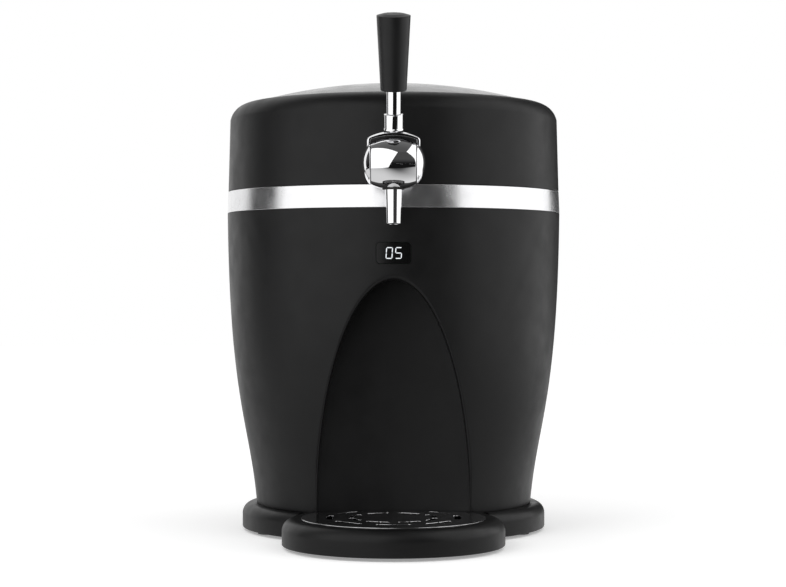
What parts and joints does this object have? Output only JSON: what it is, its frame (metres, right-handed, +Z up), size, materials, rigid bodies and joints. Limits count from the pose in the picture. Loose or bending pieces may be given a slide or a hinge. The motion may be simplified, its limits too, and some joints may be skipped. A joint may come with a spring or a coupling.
{
  "type": "mini keg beer dispenser",
  "caption": "Barrel-shaped table-top cooler for a small keg, with a chrome ball tap, glass niche, digital display, drip tray and domed lid.",
  "frame": {"origin": "the barrel's vertical axis at table level", "axes": "+Z up, -Y towards the tap and the user, +X to the viewer's right from the front"},
  "size_m": [0.29, 0.3828, 0.4275],
  "materials": {
    "black_satin": "satin black moulded plastic",
    "black_gloss": "gloss black plastic",
    "rubber_black": "matt rubber",
    "steel_satin": "satin steel strip, brushed round the barrel",
    "steel_polished": "polished stainless steel plate",
    "steel_plain": "plain turned steel",
    "chrome": "polished chrome",
    "alloy": "plain aluminium",
    "foam": "rigid foam",
    "white_plastic": "white moulded plastic",
    "board_green": "circuit board",
    "sensor": "potted sensor"
  },
  "bodies": {
    "cabinet": {"base_plate": "black_satin", "foot_1": "rubber_black", "foot_2": "rubber_black", "foot_3": "rubber_black", "foot_4": "rubber_black", "foot_5": "rubber_black", "base_screw_1": "steel_plain", "base_screw_2": "steel_plain", "base_screw_3": "steel_plain", "base_screw_4": "steel_plain", "plinth": "black_satin", "body_shell": "black_satin", "display_window": "black_gloss", "trim_band": "steel_satin", "upper_housing": "black_satin", "hinge_bracket": "black_satin", "hinge_pin": "steel_plain", "well_collar": "black_satin", "keg_sleeve": "alloy", "insulation_sleeve": "foam", "keg_cradle": "black_satin", "display_module": "black_gloss", "control_board": "board_green", "tap_drum": "chrome", "tap_shank": "steel_plain", "tap_escutcheon": "chrome", "shank_washer": "rubber_black", "shank_nut": "steel_plain", "spout": "chrome", "spout_seal": "rubber_black", "beer_hose": "white_plastic", "hose_clip": "steel_plain", "keg_adaptor": "black_satin", "adaptor_clip": "white_plastic", "cold_block": "alloy", "cooling_module": "white_plastic", "heat_sink": "alloy", "fan_frame": "black_satin", "temp_sensor": "sensor", "rear_cover": "black_satin", "cover_screw_1": "steel_plain", "cover_screw_2": "steel_plain", "cover_screw_3": "steel_plain", "cover_screw_4": "steel_plain", "power_inlet": "black_satin", "switch_frame": "black_satin", "power_board": "board_green"},
    "lid": {"lid": "black_satin", "lid_liner": "white_plastic", "lid_seal": "rubber_black"},
    "lever": {"valve_core": "steel_plain", "side_cap_left": "chrome", "side_cap_right": "chrome", "lever_yoke": "chrome", "lever_rod": "chrome", "tap_handle": "black_satin"},
    "tray": {"drip_tray": "black_satin"},
    "grille": {"drip_grille": "steel_polished"},
    "fan": {"fan_rotor": "black_satin"},
    "rocker": {"switch_rocker": "black_gloss"}
  },
  "joints": [
    {"name": "lid_hinge", "type": "hinge", "parent": "cabinet", "child": "lid", "pos_m": [0, 0.132, 0.3749], "axis": [-1, 0, 0], "range_deg": [0, 85]},
    {"name": "tap_lever", "type": "hinge", "parent": "cabinet", "child": "lever", "pos_m": [0, -0.1694, 0.3089], "axis": [1, 0, 0], "range_deg": [0, 45]},
    {"name": "tray_slide", "type": "slide", "parent": "cabinet", "child": "tray", "axis": [0, -1, 0], "range_m": [0, 0.12]},
    {"name": "grille_lift", "type": "slide", "parent": "tray", "child": "grille", "axis": [0, 0, 1], "range_m": [0, 0.02]},
    {"name": "fan_spin", "type": "hinge", "parent": "cabinet", "child": "fan", "pos_m": [0, 0.137, 0.152], "axis": [0, 1, 0], "continuous": true},
    {"name": "power_switch", "type": "hinge", "parent": "cabinet", "child": "rocker", "pos_m": [-0.026, 0.1419, 0.052], "axis": [1, 0, 0], "range_deg": [0, 16]}
  ]
}
